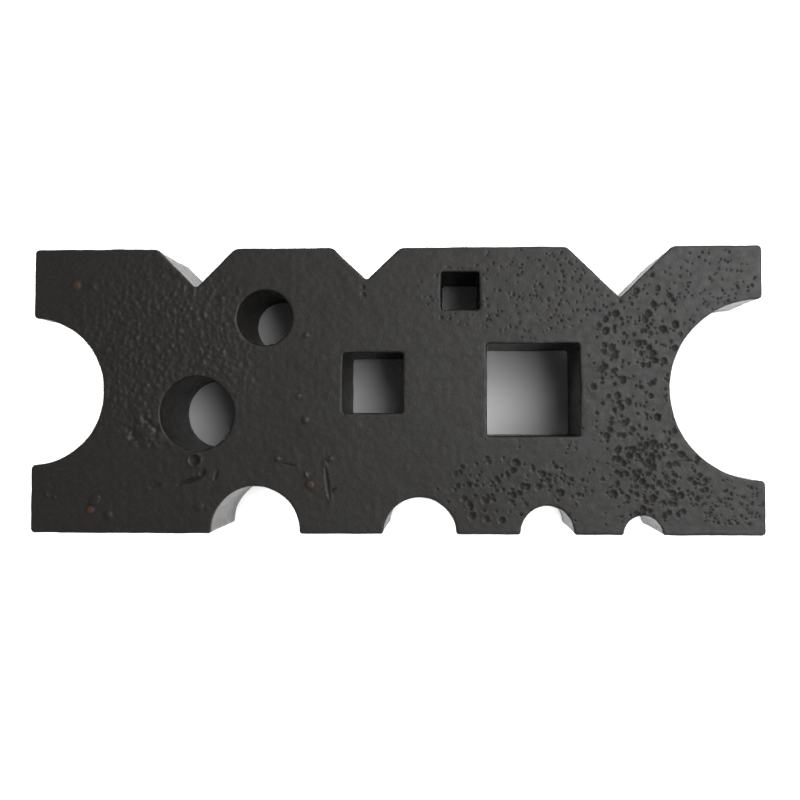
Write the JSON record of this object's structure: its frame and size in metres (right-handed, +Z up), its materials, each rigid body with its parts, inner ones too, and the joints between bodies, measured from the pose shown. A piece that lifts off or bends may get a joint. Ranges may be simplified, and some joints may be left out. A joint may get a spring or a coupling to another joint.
{
  "type": "swage block",
  "caption": "Flat cast-iron swage block for smithing: vee and half-round grooves in its long edges, large hollows in its ends, and round and square through holes.",
  "frame": {"origin": "middle of the block's footprint, on the face that it lies on", "axes": "+X along the length, from the smaller end hollow to the larger; +Y across the width, from the half-round grooves to the vee grooves; +Z up through the thickness"},
  "size_m": [0.312, 0.1226, 0.051],
  "materials": {
    "cast_iron": "dark as-cast surface with sand texture, pits and a thin brown oxide"
  },
  "bodies": {
    "root": {"block_casting": "cast_iron"}
  },
  "joints": []
}
